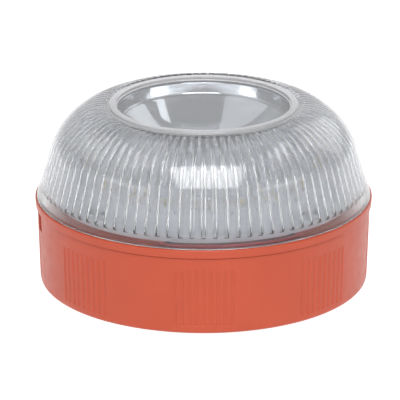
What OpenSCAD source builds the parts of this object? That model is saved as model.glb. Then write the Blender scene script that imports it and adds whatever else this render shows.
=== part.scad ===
// Magnetic emergency roof beacon, with its torch on top.
// An orange cup stands on a ring magnet and holds the push button. The lamp head
// carries the fluted dome, the reflector, the lamps and the battery, and twists
// off the cup on four helical lugs. The axis is Z, the front is -Y.

/* [Outline] */
// Largest radius of the orange collar, at its top edge
rim_r = 47; // [46.8:0.05:47.4]
// Height of the collar's top edge
rim_z = 24.7; // [24.6:0.05:25]
// Height of the gap between the cup and the collar
seam_z = 22.25; // [22.2:0.01:22.3]
// Width of that gap
seam_gap = 0.2; // [0.15:0.05:0.3]
// Radius of the cup just under the gap
cup_top_r = 46.45; // [46.3:0.05:46.6]
// Radius of the cup at its foot
cup_foot_r = 45.9; // [45.7:0.05:46.2]
// Inside radius of the cup
cup_in_r = 44; // [43.9:0.05:44.1]
// Rounding of the cup's foot
foot_round = 1; // [0.6:0.1:1.2]

/* [Grip and marks] */
// Number of grooved grip panels round the cup
grip_panels = 8; // [4:1:10]
// Grooves in one panel
grip_grooves = 9; // [5:1:11]
// Angle between two grooves
grip_step = 2.4; // [2:0.1:2.8]
// Depth of a groove
grip_depth = 0.22; // [0.1:0.02:0.4]
// Width of the key notch under the gap
notch_w = 5; // [3:0.5:7]
// Height of the key notch
notch_h = 5.4; // [4:0.2:7]
// Depth of the key notch
notch_depth = 1; // [0.6:0.1:1.2]

/* [Dome] */
// Outside radius of the dome where it meets the collar
lens_r = 46.6; // [46.4:0.05:46.7]
// Radius where the leaning wall turns into the rounded shoulder
shoulder_r = 42.3; // [42:0.1:43]
// Height of that turn
shoulder_z = 38.9; // [38:0.1:40]
// Radius of the crest of the shoulder, outside the ring
crest_r = 27.8; // [27.4:0.1:28.4]
// Height of that crest
crest_z = 50.6; // [50.3:0.05:50.8]
// Wall thickness of the dome
lens_wall = 2.1; // [1.8:0.1:2.2]
// Outside radius of the raised ring round the window
ring_r = 26.2; // [26:0.05:27]
// Height of the ring's foot, in the shallow dip inside the crest
ring_foot_z = 50.05; // [49.9:0.05:50.2]
// Height of the ring's top
ring_top_z = 50.95; // [50.8:0.05:51.6]
// Width of the ring
ring_w = 2; // [1.5:0.1:2.2]
// Height of the recessed window's outer face
window_z = 49.95; // [49.8:0.05:50]
// Number of flutes on the inside of the dome
flutes = 90; // [60:2:96]
// Depth of a flute
flute_depth = 0.45; // [0.2:0.05:0.5]
// Height at which the flutes start, above the plain strip
flute_low_z = 26.8; // [26:0.2:30]
// Radius at which the flutes end, outside the ring
flute_end_r = 27.5; // [27:0.5:32]

/* [Thread] */
// Number of lugs on the cup, and on the neck
lug_count = 4; // [3:1:4]
// Angle that one lug covers
lug_span = 35; // [25:1:38]
// Rise of the head in one full turn
thread_lead = 24; // [22:1:26]
// Height of a lug
lug_h = 2; // [1.6:0.1:2.2]
// Height of a cup lug's middle
cup_lug_z = 17; // [16.8:0.1:17.1]

/* [Torch] */
// Inside radius of the reflector's top edge
bowl_r = 23.8; // [23.4:0.1:24]
// Height of the straight band under that edge
band_h = 3; // [2.5:0.1:4]
// Number of flash lamps round the reflector
lamp_count = 12; // [8:1:16]
// Radius of the circle that the flash lamps stand on
lamp_circle_r = 20; // [18:0.5:22]

/* [Button] */
// Radius of the push button's cap
cap_r = 7.7; // [7:0.1:7.75]
// Travel of the push button
press = 0.6; // [0.4:0.1:0.7]
// Radius of the button's stem
stem_r = 1.75; // [1.7:0.01:1.76]

/* [Battery] */
// Length of the battery without its studs
battery_l = 46.4; // [45.5:0.1:46.6]
// Width of the battery
battery_w = 26.5; // [25.5:0.1:26.6]
// Thickness of the battery
battery_t = 17.5; // [16.5:0.1:17.6]

/* [Hidden] */
$fn = 96;
front = 270;

orange = [0.87, 0.33, 0.2];
clear = [0.85, 0.88, 0.9, 0.35];
silver = [0.8, 0.81, 0.83];
steel = [0.62, 0.63, 0.65];
black = [0.1, 0.1, 0.11];

// Underside of the cup, from the standing face up.
pad_t = 1.15;
foot_z = 0.5;
pad_seat_z = 1.2;
pad_in_r = 10.2;
pad_out_r = 43.3;
pad_recess_r = 43.6;
magnet_in_r = 10;
magnet_out_r = 22;
magnet_pocket_r = 22.2;
magnet_top_z = 3.2;
flux_top_z = 4.05;
pocket_top_z = 4.1;
pocket_wall_r = 23.6;
floor_z = 2.5;
floor_round = 1.5;
roof_z = 5.1;
support_r = 31.2;
support_w = 1.2;
support_z = 6.2;
cup_top_z = seam_z - seam_gap / 2;
edge = 0.2;
through = 60;

// Button well in the middle of the underside.
well_r = 8;
well_wall_r = 9.8;
seal_pocket_r = 2.6;
seal_top_z = 5.5;
guide_r = 1.8;
guide_wall_r = 3.2;
guide_top_z = 9;
cap_z = 1.2;
cap_t = 1.6;
spring_room = 0.9;
well_top_z = cap_z + cap_t + press + spring_room;
clip_gap = 0.1;
clip_t = 0.6;
clip_r = 3.1;
clip_groove_r = 1.3;
stem_top_z = 20;
spring_r = 5;
spring_wire_r = 0.18;
spring_turns = 2;
spring_sides = 8;

// Neck of the head, inside the cup.
collar_z = seam_z + seam_gap / 2;
collar_low_r = cup_top_r + 0.3;
rim_round = 0.35;
neck_r = 42.4;
neck_in_r = 40.5;
neck_low_z = 12.4;
lug_gap = 0.3;
neck_lug_z = cup_lug_z - lug_h - lug_gap;
cup_lug_r = neck_r + 0.3;
neck_lug_r = cup_in_r - 0.3;
lug_tilt = atan(thread_lead / (2 * PI * neck_r));
seal_r = 0.9;
seal_ring_r = cup_in_r - 0.05 - seal_r;
seal_z = 20.5;
seal_groove_r = seal_ring_r - seal_r - 0.05;
seal_groove_h = 2.1;

// Seat of the dome and shelf of the board, on top of the collar.
seat_z = 23.4;
seat_r = 45.8;
gasket_t = 0.4;
lens_foot_out_r = 45.7;
lens_foot_in_r = 44.2;
lip_z = rim_z + 0.05;
lean = (shoulder_r - lens_r) / (shoulder_z - lip_z);
ring_edge = 0.3;
channel_out_r = 44.1;
channel_z = 24;
shelf_r = 41.8;
shelf_z = 24.9;
board_r = 41.6;
board_t = 1.6;
board_top_z = shelf_z + board_t;
boss_r = 3;
boss_low_z = 18.2;
boss_top_z = shelf_z - 0.05;
boss_circle_r = 37.9;
boss_angles = [15, 165, 225, 315];
pilot_r = 1.05;
board_hole_r = 1.4;
shelf_screw_head = [2.3, 1.3];
shelf_screw_r = 1;
lead_slot_angles = [255, 306];
lead_slot = [4, 5, 4];

// Reflector, its lamp and what carries it.
bowl_top_z = ring_foot_z - lens_wall - 0.1;
bowl_flange_r = 25.8;
bowl_flange_t = 1;
band_low_r = bowl_r - 1.05;
bowl_step = 0.8;
bowl_start_r = band_low_r - bowl_step;
bowl_start_z = bowl_top_z - band_h;
bowl_focus = 11.5;
bowl_hole_r = 4.2;
bowl_wall = 1.3;
bowl_foot_r = 9.6;
bowl_tab_r = 14;
bowl_tab_t = 1.2;
bowl_screw_r = 11.9;
bowl_hole_in_tab_r = 1.1;
bowl_hole_in_board_r = 1.05;
bowl_screw_head = [1.7, 1.1];
bowl_screw_shank_r = 0.95;
bowl_screw_angles = [90, 210, 330];
torch_board_r = 8;
torch_board_z = 31;
torch_board_t = 1.4;

// Battery bay under the board.
battery_x = -25.2;
battery_y = 4.5;
battery_top_z = 24.1;
battery_mid_y = battery_y + battery_w / 2;
battery_mid_z = battery_top_z - battery_t / 2;
stud_step = 12.7;
stud_l = 2.2;
small_stud_r = 2.7;
large_stud_r = 3.9;
stud_room = 0.1;
snap_x = 21.4;
snap_l = 3.5;
bay_gap = 0.4;
bay_wall = 1;
bay_low_z = 11;
bay_x0 = battery_x - bay_gap;
bay_x1 = snap_x + snap_l + bay_gap;
bay_y0 = battery_y - bay_gap;
cradle_r = 40;
cradle_z = 17;
cradle_t = 1.2;
cradle_hole_r = 1.35;
stem_hole_r = 2.6;

// Switch over the button's stem, and the leads of the battery.
switch_w = 6;
switch_h = 3.2;
switch_low_z = shelf_z - switch_h;
switch_pocket_h = 1.4 + press;
plunger_r = 1.7;
lead_r = 0.48;
lead_inner_r = shelf_r + lead_r + 0.03;
lead_outer_r = lead_inner_r + 2 * lead_r + 0.04;
lead_z = channel_z + lead_r + 0.05;

// Points of an arc round c, from angle a0 to a1 in n steps.
function arc(c, r, a0, a1, n) = [for (i = [0:n]) let (a = a0 + (a1 - a0) * i / n) c + r * [cos(a), sin(a)]];
// Point at radius r, angle a and height z.
function polar(r, a, z) = [r * cos(a), r * sin(a), z];
function unit(v) = v / norm(v);
// Catmull-Rom curve through the points p, with n steps from each to the next.
function curve_at(a, b, c, d, t) =
    ((2 * b) + (c - a) * t + (2 * a - 5 * b + 4 * c - d) * t * t + (3 * b - a - 3 * c + d) * t * t * t) / 2;
function curve(p, n) = concat(
    [for (i = [0:len(p) - 2], k = [0:n - 1])
        curve_at(p[max(i - 1, 0)], p[i], p[i + 1], p[min(i + 2, len(p) - 1)], k / n)],
    [p[len(p) - 1]]);
// Ring of points round path point i, square to the path.
function path_ring(p, i, r, sides, ref) =
    let (t = unit(p[min(i + 1, len(p) - 1)] - p[max(i - 1, 0)]),
         u = unit(cross(t, ref)),
         v = cross(t, u))
    [for (k = [0:sides - 1]) p[i] + r * (u * cos(360 * k / sides) + v * sin(360 * k / sides))];

// Round tube along the path p; ref is any direction that the path never takes.
module tube(p, r, sides, ref) {
    last = len(p) - 1;
    polyhedron(
        points = [for (i = [0:last]) each path_ring(p, i, r, sides, ref)],
        faces = concat(
            [[for (k = [0:sides - 1]) k]],
            [for (i = [0:last - 1], k = [0:sides - 1])
                let (a = i * sides + k, b = i * sides + (k + 1) % sides)
                each [[a, a + sides, b + sides], [a, b + sides, b]]],
            [[for (k = [sides - 1:-1:0]) last * sides + k]]));
}

// Cylinder between two heights.
module post(r, z0, z1) {
    translate([0, 0, z0]) cylinder(r = r, h = z1 - z0);
}

// Children on a circle of radius r, once at each angle.
module at_angles(angles, r) {
    for (a = angles) rotate(a) translate([r, 0, 0]) children();
}

function evenly(n, start = 0) = [for (i = [0:n - 1]) start + 360 * i / n];

// Rectangle with rounded corners, centred.
module round_rect(w, h, r) {
    square([w - 2 * r, h], center = true);
    square([w, h - 2 * r], center = true);
    for (x = [-1, 1], y = [-1, 1]) translate([x * (w / 2 - r), y * (h / 2 - r)]) circle(r);
}

// Block that stands on height z, centred at [x, y].
module block(x, y, z, size) {
    translate([x - size[0] / 2, y - size[1] / 2, z]) cube(size);
}

// Helical lugs between two radii, with their middles at height z.
module lugs(r0, r1, z) {
    for (a = evenly(lug_count)) rotate(a) translate([0, 0, z]) rotate([lug_tilt, 0, 0])
        rotate_extrude(angle = lug_span, start = -lug_span / 2)
            translate([r0, -lug_h / 2]) square([r1 - r0, lug_h]);
}

// Pan-head screw: head, of a radius and a height, on height z, and the shank below it.
module screw(z, head, shank_r, shank_l) {
    slot_w = 0.5;
    difference() {
        union() {
            post(head[0], z, z + head[1]);
            post(shank_r, z - shank_l, z);
        }
        for (a = [0, 90]) rotate(a) block(0, 0, z + head[1] / 2, [head[0] * 1.3, slot_w, head[1]]);
    }
}

// ---- Cup ----

function cup_profile() = concat(
    [[well_r, foot_z], [well_wall_r, foot_z], [well_wall_r, pocket_top_z],
     [magnet_pocket_r, pocket_top_z], [magnet_pocket_r, pad_seat_z],
     [pad_recess_r, pad_seat_z], [pad_recess_r, foot_z]],
    arc([cup_foot_r - foot_round, foot_z + foot_round], foot_round, -90, 0, 6),
    [[cup_top_r, cup_top_z - edge], [cup_top_r - edge, cup_top_z],
     [cup_in_r + edge, cup_top_z], [cup_in_r, cup_top_z - edge]],
    arc([cup_in_r - floor_round, floor_z + floor_round], floor_round, 0, -90, 4),
    [[support_r, floor_z], [support_r, support_z],
     [support_r - support_w, support_z], [support_r - support_w, floor_z],
     [pocket_wall_r, floor_z], [pocket_wall_r, roof_z],
     [guide_wall_r, roof_z], [guide_wall_r, guide_top_z],
     [guide_r, guide_top_z], [guide_r, seal_top_z],
     [seal_pocket_r, seal_top_z], [seal_pocket_r, well_top_z], [well_r, well_top_z]]);

module grip_grooves_cut() {
    groove_r = 0.6;
    low_z = 2.6;
    high_z = seam_z - 3.5;
    draft = atan((cup_top_r - cup_foot_r) / (cup_top_z - foot_z));
    offsets = [for (i = [0:grip_grooves - 1]) (i - (grip_grooves - 1) / 2) * grip_step];
    wall_r = cup_foot_r + (low_z - foot_z) * tan(draft);
    for (p = evenly(grip_panels, front), o = offsets)
        rotate(p + o) translate([wall_r + groove_r - grip_depth, 0, low_z]) rotate([0, draft, 0])
            cylinder(r = groove_r, h = high_z - low_z);
}

module base_housing() {
    notch_angle = front - 78;
    color(orange) difference() {
        union() {
            rotate_extrude() polygon(cup_profile());
            intersection() {
                lugs(cup_lug_r, cup_in_r + 1, cup_lug_z);
                post(cup_in_r + 0.5, floor_z, cup_top_z);
            }
        }
        grip_grooves_cut();
        rotate(notch_angle) translate([cup_top_r - notch_depth, -notch_w / 2, cup_top_z - notch_h])
            cube([3, notch_w, notch_h + 1]);
    }
}

module base_pad() {
    color(black) rotate_extrude() translate([pad_in_r, 0]) polygon([
        [0.2, 0], [pad_out_r - pad_in_r - 0.2, 0], [pad_out_r - pad_in_r, 0.2],
        [pad_out_r - pad_in_r, pad_t], [0, pad_t], [0, 0.2]]);
}

module ring_magnet() {
    color(steel) difference() {
        post(magnet_out_r, pad_seat_z, magnet_top_z);
        post(magnet_in_r, 0, magnet_top_z + 1);
    }
}

module flux_plate() {
    color(silver) difference() {
        post(magnet_out_r, magnet_top_z + 0.02, flux_top_z);
        post(magnet_in_r, 0, flux_top_z + 1);
    }
}

// ---- Push button ----

module button_seal() {
    ring = (seal_pocket_r - 0.04 - stem_r - 0.05) / 2;
    color(black) rotate_extrude() translate([stem_r + 0.05 + ring, well_top_z + 0.6]) circle(ring);
}

module button_spring() {
    steps = 20;
    low = cap_z + cap_t + spring_wire_r + 0.02;
    rise = well_top_z - spring_wire_r - 0.02 - low;
    path = [for (i = [0:steps * spring_turns])
        polar(spring_r, 360 * i / steps, low + rise * i / (steps * spring_turns))];
    color(silver) tube(path, spring_wire_r, spring_sides, [0, 0, 1]);
}

module push_button() {
    dish_r = 28;
    dish_depth = 0.7;
    groove_z = guide_top_z + clip_gap;
    color([0.16, 0.16, 0.17]) difference() {
        union() {
            rotate_extrude() polygon([[0, cap_z], [cap_r - 0.4, cap_z], [cap_r, cap_z + 0.4],
                                      [cap_r, cap_z + cap_t], [0, cap_z + cap_t]]);
            post(stem_r, cap_z + 0.5, stem_top_z);
        }
        translate([0, 0, cap_z + dish_depth - dish_r]) sphere(dish_r);
        difference() {
            post(stem_r + 1, groove_z, groove_z + clip_t);
            post(clip_groove_r, groove_z - 1, groove_z + clip_t + 1);
        }
    }
}

module stem_clip() {
    z = guide_top_z + clip_gap + 0.02;
    color(steel) difference() {
        post(clip_r, z, z + clip_t - 0.04);
        post(clip_groove_r + 0.02, z - 1, z + clip_t + 1);
        block(clip_r, 0, z - 1, [2 * clip_r, 1.8, clip_t + 2]);
    }
}

// ---- Neck and collar ----

module neck_seal() {
    color(black) rotate_extrude() translate([seal_ring_r, seal_z]) circle(seal_r);
}

function collar_profile() = concat(
    [[neck_in_r, neck_low_z], [neck_r - edge, neck_low_z], [neck_r, neck_low_z + edge],
     [neck_r, seal_z - seal_groove_h / 2], [seal_groove_r, seal_z - seal_groove_h / 2],
     [seal_groove_r, seal_z + seal_groove_h / 2], [neck_r, seal_z + seal_groove_h / 2],
     [neck_r, collar_z], [collar_low_r - edge / 2, collar_z], [collar_low_r, collar_z + edge / 2]],
    arc([rim_r - rim_round, rim_z - rim_round], rim_round, 0, 90, 4),
    [[seat_r, rim_z], [seat_r, seat_z], [channel_out_r, seat_z], [channel_out_r, channel_z],
     [shelf_r, channel_z], [shelf_r, shelf_z], [neck_in_r, shelf_z]]);

// Outer radius of the flared collar at height z.
function flare_r(z) =
    let (z0 = collar_z + edge / 2, z1 = rim_z - rim_round)
    collar_low_r + (rim_r - collar_low_r) * (z - z0) / (z1 - z0);

module collar_mark() {
    low = collar_z + 0.3;
    high = low + 1.3;
    proud = 0.1;
    rotate_extrude(angle = 0.7, start = front - 2.3) polygon([
        [collar_low_r - 0.5, low], [flare_r(low) + proud, low],
        [flare_r(high) + proud, high], [collar_low_r - 0.5, high]]);
}

module collar_ring() {
    color(orange) difference() {
        union() {
            rotate_extrude() polygon(collar_profile());
            lugs(neck_r - 1, neck_lug_r, neck_lug_z);
            at_angles(boss_angles, boss_circle_r) post(boss_r, boss_low_z, boss_top_z);
            collar_mark();
        }
        at_angles(boss_angles, boss_circle_r) post(pilot_r, boss_low_z - 1, shelf_z + 1);
        for (a = lead_slot_angles) rotate(a) block(neck_in_r + 1.3, 0, shelf_z - 2.1, lead_slot);
    }
}

// ---- Dome ----

// Profile of the shoulder: a quarter ellipse that starts along the leaning wall.
function shoulder(r0, z0, r1, z1, lean, n) = [for (i = [0:n])
    let (a = 90 * i / n, z = z0 + (z1 - z0) * sin(a)) [r1 + (r0 - r1 + lean * (z - z0)) * cos(a), z]];

// The dome's shoulder with the wall w thinner than the outside.
function inner_shoulder(w, n) =
    shoulder(shoulder_r - w, shoulder_z, crest_r - 0.3 * w, crest_z - w, lean, n);

function dome_profile() =
    let (outer = inner_shoulder(0, 14), inner = inner_shoulder(lens_wall, 14))
    concat(
        [[lens_foot_in_r, seat_z + gasket_t], [lens_foot_out_r, seat_z + gasket_t],
         [lens_foot_out_r, lip_z], [lens_r, lip_z]],
        outer,
        [[ring_r, ring_foot_z], [ring_r, ring_top_z - ring_edge], [ring_r - ring_edge, ring_top_z],
         [ring_r - ring_w + ring_edge, ring_top_z], [ring_r - ring_w, ring_top_z - ring_edge],
         [ring_r - ring_w, window_z + ring_edge], [ring_r - ring_w - ring_edge, window_z], [0, window_z],
         [0, ring_foot_z - lens_wall], [ring_r - 0.3 * lens_wall, ring_foot_z - lens_wall]],
        [for (i = [len(inner) - 1:-1:0]) inner[i]]);

// Section of one flute: a thin band of the wall, open to the inside.
function flute_profile() =
    let (w = lens_wall - flute_depth,
         turn = [for (p = inner_shoulder(w, 8)) if (p[0] > flute_end_r) p],
         last = turn[len(turn) - 1],
         foot_r = shoulder_r - w - lean * (shoulder_z - flute_low_z))
    concat([[foot_r - 3, flute_low_z + 0.5], [foot_r, flute_low_z]], turn,
           [[flute_end_r, last[1] + 0.1], [flute_end_r - 1, last[1] - 3], [turn[0][0] - 3, turn[0][1]]]);

module dome_lens() {
    groove_angle = 0.7 * 360 / flutes;
    color(clear) difference() {
        rotate_extrude() polygon(dome_profile());
        for (a = evenly(flutes, front)) rotate(a)
            rotate_extrude(angle = groove_angle, start = -groove_angle / 2) polygon(flute_profile());
    }
}

module dome_gasket() {
    color(black) difference() {
        post(lens_foot_out_r, seat_z + 0.02, seat_z + gasket_t - 0.02);
        post(lens_foot_in_r, seat_z - 1, seat_z + gasket_t + 1);
    }
}

// ---- Reflector and torch lamp ----

function bowl_z(r) = bowl_start_z - 0.2 - (bowl_start_r * bowl_start_r - r * r) / (4 * bowl_focus);

function bowl_profile() =
    let (n = 12, pocket_r = torch_board_r + 0.15, pocket_z = torch_board_z + torch_board_t + 0.1)
    concat(
        [[bowl_r, bowl_top_z], [band_low_r, bowl_start_z], [bowl_start_r, bowl_start_z - 0.2]],
        [for (i = [1:n]) let (r = bowl_start_r + (bowl_hole_r - bowl_start_r) * i / n) [r, bowl_z(r)]],
        [[bowl_hole_r, pocket_z], [pocket_r, pocket_z], [pocket_r, board_top_z],
         [bowl_tab_r, board_top_z], [bowl_tab_r, board_top_z + bowl_tab_t],
         [bowl_foot_r, board_top_z + bowl_tab_t], [bowl_foot_r, bowl_z(bowl_foot_r) - bowl_wall]],
        [for (i = [n - 1:-1:0])
            let (r = bowl_start_r + (bowl_foot_r - bowl_start_r) * i / n) [r + bowl_wall * 0.6, bowl_z(r) - bowl_wall]],
        [[bowl_r + bowl_wall * 0.8, bowl_start_z], [bowl_r + bowl_wall, bowl_top_z - bowl_flange_t],
         [bowl_flange_r, bowl_top_z - bowl_flange_t], [bowl_flange_r, bowl_top_z]]);

module reflector_bowl() {
    color(silver) difference() {
        rotate_extrude() polygon(bowl_profile());
        at_angles(bowl_screw_angles, bowl_screw_r) post(bowl_hole_in_tab_r, board_top_z - 1, board_top_z + 3);
    }
}

module reflector_screws() {
    color(steel) at_angles(bowl_screw_angles, bowl_screw_r)
        screw(board_top_z + bowl_tab_t, bowl_screw_head, bowl_screw_shank_r, bowl_tab_t + board_t - 0.1);
}

module heat_spreader() {
    color(silver) post(torch_board_r - 0.3, board_top_z, torch_board_z);
}

module torch_board() {
    color([0.92, 0.93, 0.93]) post(torch_board_r, torch_board_z, torch_board_z + torch_board_t);
}

module torch_led() {
    base = [3.5, 3.5, 0.9];
    drop_r = 1.5;
    z = torch_board_z + torch_board_t;
    color([0.95, 0.9, 0.6]) {
        block(0, 0, z, base);
        intersection() {
            translate([0, 0, z + base[2]]) sphere(drop_r);
            post(2 * drop_r, z + base[2] - 0.2, z + base[2] + 2 * drop_r);
        }
    }
}

// ---- Board and what stands on it ----

module main_board() {
    color([0.93, 0.94, 0.93]) difference() {
        post(board_r, shelf_z, board_top_z);
        at_angles(boss_angles, boss_circle_r) post(board_hole_r, 0, through);
        at_angles(bowl_screw_angles, bowl_screw_r) post(bowl_hole_in_board_r, 0, through);
    }
}

module board_screws() {
    color(steel) at_angles(boss_angles, boss_circle_r)
        screw(board_top_z, shelf_screw_head, shelf_screw_r, board_t + 2.8);
}

module side_lamps() {
    body = [3.2, 2.8, 1.3];
    drop_r = 1.1;
    drop_h = 0.3;
    color([0.98, 0.72, 0.15]) at_angles(evenly(lamp_count, front), lamp_circle_r) {
        block(0, 0, board_top_z, body);
        post(drop_r, board_top_z + body[2] - drop_h, board_top_z + body[2] + drop_h);
    }
}

module lamp_resistors() {
    body = [1.3, 2, 0.55];
    resistor_circle_r = lamp_circle_r + 5;
    color(black) at_angles(evenly(lamp_count, front + 180 / lamp_count), resistor_circle_r)
        block(0, 0, board_top_z, body);
}

module driver_chip() {
    body = [4, 5, 1.5];
    pin = [1.4, 0.42, 0.5];
    pin_step = 1.27;
    translate([-12, -9, shelf_z]) {
        color(black) block(0, 0, -0.2 - body[2], body);
        color(silver) for (s = [-1, 1], i = [-1.5:1:1.5])
            block(s * (body[0] + 1) / 2, i * pin_step, -pin[2], pin);
    }
}

module inductor() {
    flange_r = 3.9;
    core_r = 2.6;
    h = 4;
    color([0.2, 0.2, 0.21]) translate([12, -13, shelf_z]) {
        post(flange_r, -h, 1 - h);
        post(core_r, 0.8 - h, -0.8);
        post(flange_r, -1, 0);
    }
}

module capacitors() {
    can_r = 3.1;
    can_h = 5;
    foot = [6.6, 6.6, 0.8];
    color([0.25, 0.27, 0.32]) for (p = [[-5, -22], [4, -25]]) translate([p[0], p[1], shelf_z]) {
        post(can_r, -0.6 - can_h, -0.6);
        block(0, 0, -foot[2], foot);
    }
}

module small_parts() {
    body = [1.3, 2, 0.6];
    color([0.55, 0.45, 0.3]) for (i = [0:5])
        block(-22 + 1.5 * i, -2 - 3 * i, shelf_z - body[2], body);
}

// ---- Switch ----

module switch_body() {
    color(black) difference() {
        block(0, 0, switch_low_z, [switch_w, switch_w, switch_h]);
        post(plunger_r + 0.1, switch_low_z - 1, switch_low_z + switch_pocket_h);
    }
}

module switch_plunger() {
    color([0.85, 0.85, 0.82]) post(plunger_r, stem_top_z + 0.2, switch_low_z + 1.2);
}

// ---- Battery bay ----

module battery_cradle() {
    out = 2 * cradle_r;
    slot_x = 19;
    slot = [5.5, 4 * bay_wall];
    color([0.2, 0.2, 0.21]) intersection() {
        difference() {
            union() {
                post(cradle_r, cradle_z, cradle_z + cradle_t);
                translate([bay_x0 - bay_wall, bay_y0 - bay_wall, bay_low_z])
                    cube([bay_x1 - bay_x0 + 2 * bay_wall, out, battery_top_z + 0.1 - bay_low_z]);
            }
            translate([bay_x0, bay_y0, 0]) cube([bay_x1 - bay_x0, out, through]);
            post(stem_hole_r, 0, through);
            at_angles(boss_angles, boss_circle_r) post(cradle_hole_r, 0, through);
            translate([slot_x, bay_y0 - slot[1] / 2, cradle_z + cradle_t]) cube(concat(slot, through));
        }
        post(cradle_r, 0, through);
    }
}

module cradle_screws() {
    color(steel) at_angles(boss_angles, boss_circle_r)
        translate([0, 0, 2 * cradle_z]) mirror([0, 0, 1])
            screw(cradle_z, shelf_screw_head, shelf_screw_r, cradle_t + 2.4);
}

module battery() {
    color([0.12, 0.13, 0.2]) translate([battery_x, battery_mid_y, battery_mid_z])
        rotate([90, 0, 90]) linear_extrude(battery_l) round_rect(battery_w, battery_t, 2);
}

// The two studs side by side, each grown by some room, from x on.
module stud_pair(x, room, l) {
    for (stud = [[-1, small_stud_r], [1, large_stud_r]])
        translate([x, battery_mid_y + stud[0] * stud_step / 2, battery_mid_z]) rotate([0, 90, 0])
            cylinder(r = stud[1] + room, h = l);
}

module battery_studs() {
    color(silver) stud_pair(battery_x + battery_l, 0, stud_l);
}

module battery_snap() {
    size = [snap_l, 25, 12.4];
    color(black) difference() {
        translate([snap_x, battery_mid_y - size[1] / 2, battery_mid_z - size[2] / 2]) cube(size);
        stud_pair(snap_x - 1, stud_room, stud_l + 0.9);
    }
}

// A lead from the snap connector: up through one slot of the collar, along the
// channel beside the board, and down the other slot to its pad under the board.
function lead_route(side, ring) = concat(
    [[23.1 + 0.62 * side, 5.2, 19.3], [23 + 0.62 * side, 2.5, 19.5],
     [21.5 + 0.65 * side, -10, 21], [20 + 0.65 * side, -22, 21.5]],
    [polar(38, 305.5 + side, 22.3), polar(40.5, 306 + side, 23.8), polar(ring - 0.3, 305 + side, 24.75)],
    [for (a = [300:-8:260]) polar(ring, a, lead_z)],
    [polar(ring - 0.3, 256 - side, 24.75), polar(40.5, 255 - side, 23.8), polar(37.5, 254.5 - side, 22.6),
     polar(33.5, 254 - side, 23.6), polar(31, 254 - side, shelf_z - lead_r - 0.05)]);

module battery_lead(side, ring) {
    tube(curve(lead_route(side, ring), 4), lead_r, 8, [0.2, -0.9, 0.35]);
}

module battery_lead_red() {
    color([0.6, 0.08, 0.08]) battery_lead(1, lead_outer_r);
}

module battery_lead_black() {
    color(black) battery_lead(-1, lead_inner_r);
}

module battery_foam() {
    y0 = battery_y + battery_w + 0.1;
    size = [24, cradle_r - 2 - y0, 10];
    color([0.35, 0.35, 0.36]) translate([-size[0] / 2, y0, 13]) cube(size);
}

base_housing();
base_pad();
ring_magnet();
flux_plate();
button_seal();
button_spring();
push_button();
stem_clip();
neck_seal();
collar_ring();
dome_lens();
dome_gasket();
reflector_bowl();
reflector_screws();
heat_spreader();
torch_board();
torch_led();
main_board();
board_screws();
side_lamps();
lamp_resistors();
driver_chip();
inductor();
capacitors();
small_parts();
switch_body();
switch_plunger();
battery_cradle();
cradle_screws();
battery();
battery_studs();
battery_snap();
battery_lead_red();
battery_lead_black();
battery_foam();
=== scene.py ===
import math

import bmesh
import bpy
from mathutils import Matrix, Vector


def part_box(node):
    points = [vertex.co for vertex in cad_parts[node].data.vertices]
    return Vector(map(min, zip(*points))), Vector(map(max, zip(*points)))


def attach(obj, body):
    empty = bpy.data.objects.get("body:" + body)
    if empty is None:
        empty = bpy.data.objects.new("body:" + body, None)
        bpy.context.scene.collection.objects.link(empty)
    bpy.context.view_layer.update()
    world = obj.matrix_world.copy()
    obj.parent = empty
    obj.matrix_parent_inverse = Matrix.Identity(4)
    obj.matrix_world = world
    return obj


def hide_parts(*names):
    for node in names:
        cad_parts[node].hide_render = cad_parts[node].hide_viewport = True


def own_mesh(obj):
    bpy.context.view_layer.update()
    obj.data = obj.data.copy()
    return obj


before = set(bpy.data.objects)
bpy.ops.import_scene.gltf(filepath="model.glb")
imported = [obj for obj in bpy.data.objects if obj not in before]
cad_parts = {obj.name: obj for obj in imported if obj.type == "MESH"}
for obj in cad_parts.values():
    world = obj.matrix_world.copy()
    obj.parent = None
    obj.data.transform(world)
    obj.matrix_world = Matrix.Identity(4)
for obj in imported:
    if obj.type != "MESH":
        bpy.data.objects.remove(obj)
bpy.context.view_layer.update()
scene = bpy.context.scene

MM = 0.001
TURN = 2 * math.pi
FRONT = math.radians(270)


# ---- Sizes, read from the frame where it holds them ----


def reach(node):
    """Largest radius of a CAD node that is centred on the axis."""
    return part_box(node)[1].x / MM


def top(node):
    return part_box(node)[1].z / MM


def foot(node):
    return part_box(node)[0].z / MM


rim_r = reach("collar_ring")
shelf_z = top("collar_ring")
neck_low_z = foot("collar_ring")
rim_z = shelf_z - 0.2
cup_top_z = top("base_housing")
cup_foot_z = foot("base_housing")
cup_top_r = reach("base_housing")
collar_z = cup_top_z + 0.2
board_z = top("main_board")
lens_r = reach("dome_lens")
lens_foot_z = foot("dome_lens")
ring_top_z = top("dome_lens")
bowl_top_z = top("reflector_bowl")
bowl_flange_r = reach("reflector_bowl")
pad_r = reach("base_pad")
pad_t = top("base_pad")
cap_r = reach("push_button")
cap_z = foot("push_button")
stem_top_z = top("push_button")

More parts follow.
